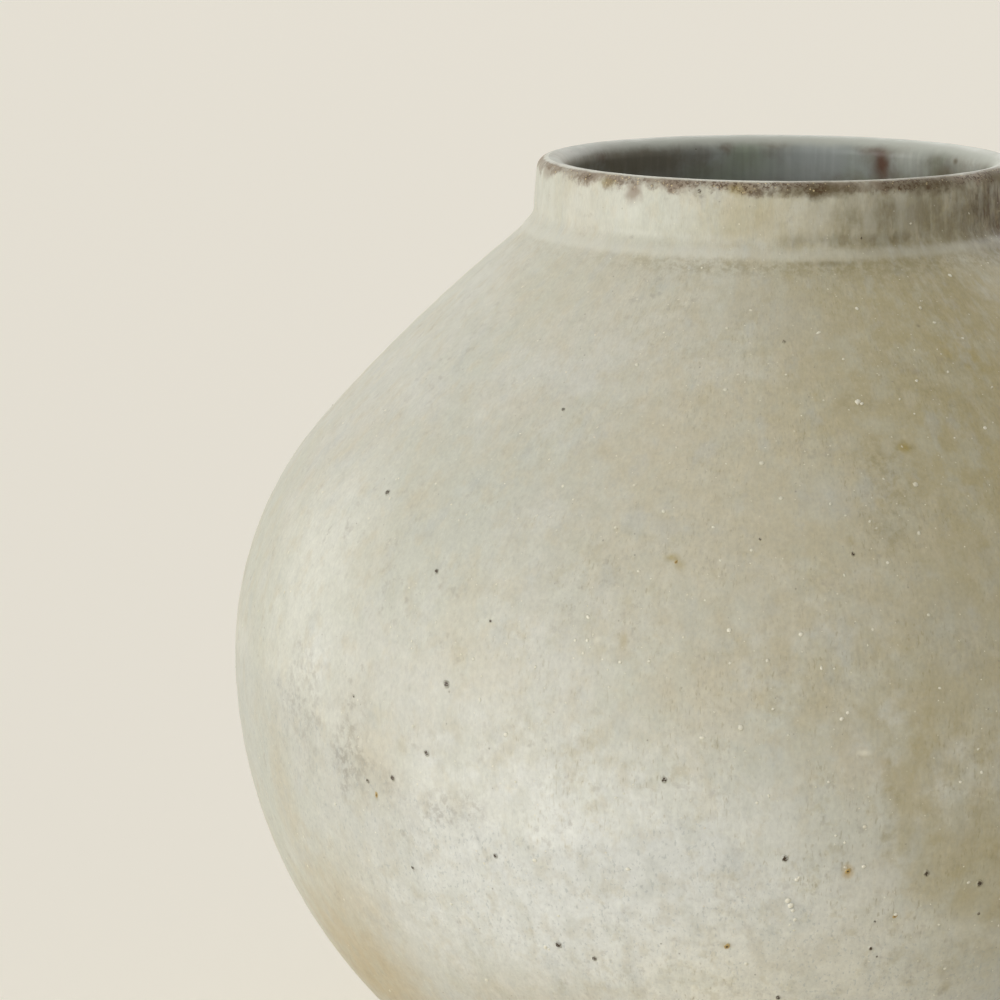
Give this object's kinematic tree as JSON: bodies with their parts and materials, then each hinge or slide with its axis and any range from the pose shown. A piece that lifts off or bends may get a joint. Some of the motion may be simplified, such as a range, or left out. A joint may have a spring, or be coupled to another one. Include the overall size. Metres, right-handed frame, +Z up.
{
  "type": "moon jar",
  "caption": "Full round stoneware moon jar: two thrown bowls luted at the belly, a short upright collar with a rounded lip, a low foot ring and a glaze coat inside and out.",
  "frame": {"origin": "on the ground, under the centre of the foot ring", "axes": "+Z up along the jar's turning axis; -Y faces the picture's camera"},
  "size_m": [0.24, 0.24, 0.2216],
  "materials": {
    "outer_glaze": "satin pale grey-green ash glaze with iron specks",
    "inner_glaze": "satin grey glaze, olive and rust in places",
    "clay": "bare fired stoneware",
    "slip": "fired slip, finer and paler than the clay"
  },
  "bodies": {
    "root": {"foot_ring": "clay", "foot_slip": "slip", "lower_bowl": "clay", "seam_slip": "slip", "upper_bowl": "clay", "collar_slip": "slip", "mouth_collar": "clay", "outer_glaze": "outer_glaze", "inner_glaze": "inner_glaze"}
  },
  "joints": []
}
